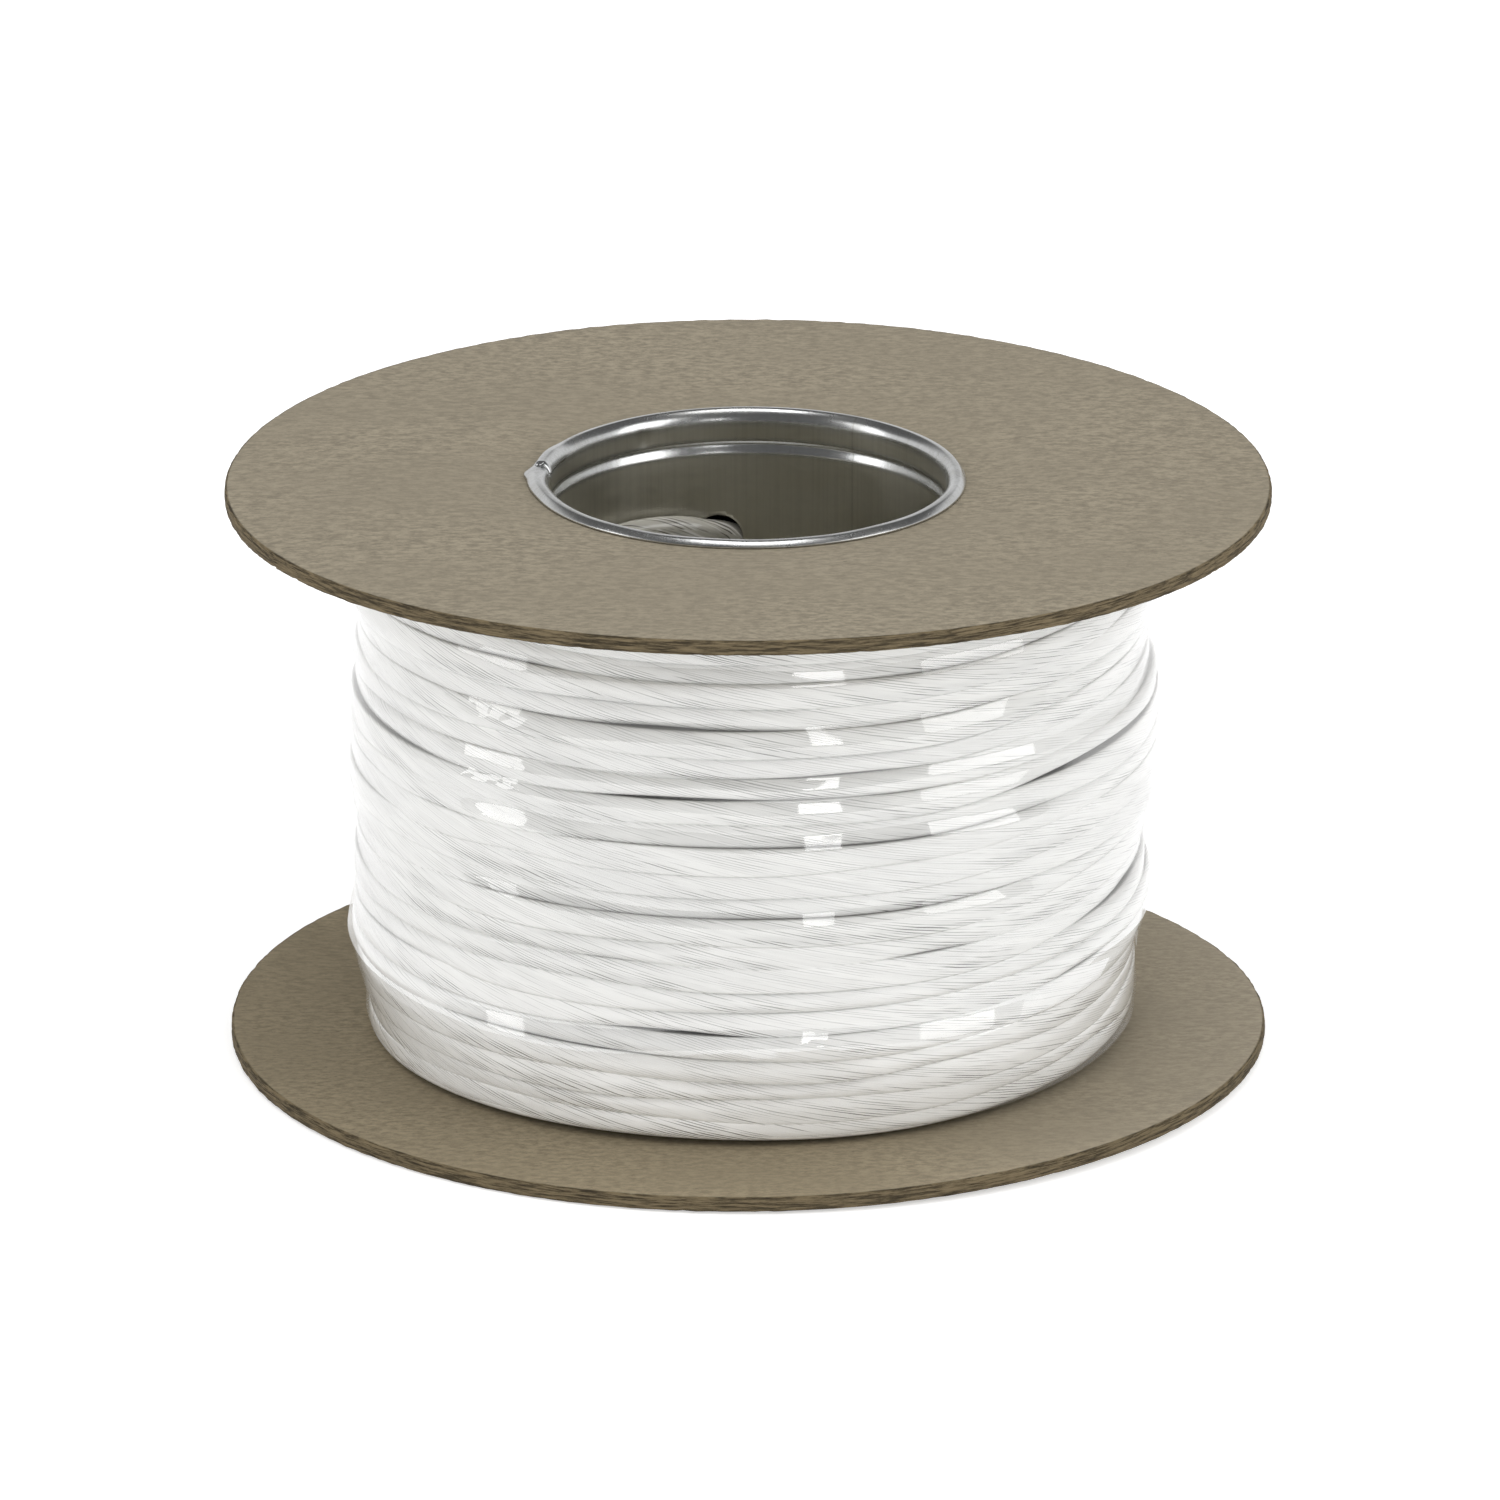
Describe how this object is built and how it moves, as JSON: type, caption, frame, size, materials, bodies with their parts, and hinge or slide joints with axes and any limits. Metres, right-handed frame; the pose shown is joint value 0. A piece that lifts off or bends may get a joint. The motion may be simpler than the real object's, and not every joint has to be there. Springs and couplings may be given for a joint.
{
  "type": "cable reel",
  "caption": "Small wound reel: two round board flanges clamped on a curled sheet-metal core, filled with clear-insulated stranded cable under stretch film.",
  "frame": {"origin": "on the reel's axis, at the lowest point of the lower rim, on which the reel stands", "axes": "+Z along the bore, from the lower board to the upper one; +Y points away from the front view"},
  "size_m": [0.2, 0.2, 0.1132],
  "materials": {
    "board": "matt grey-brown solid board",
    "sheet_metal": "bright tinned sheet",
    "cable": "clear glossy insulation over tinned strands",
    "film": "clear stretch film"
  },
  "bodies": {
    "root": {"upper_flange": "board", "lower_flange": "board", "core_tube": "sheet_metal", "inner_winding": "cable", "outer_winding": "cable", "cable_start": "cable", "film_wrap": "film"}
  },
  "joints": []
}
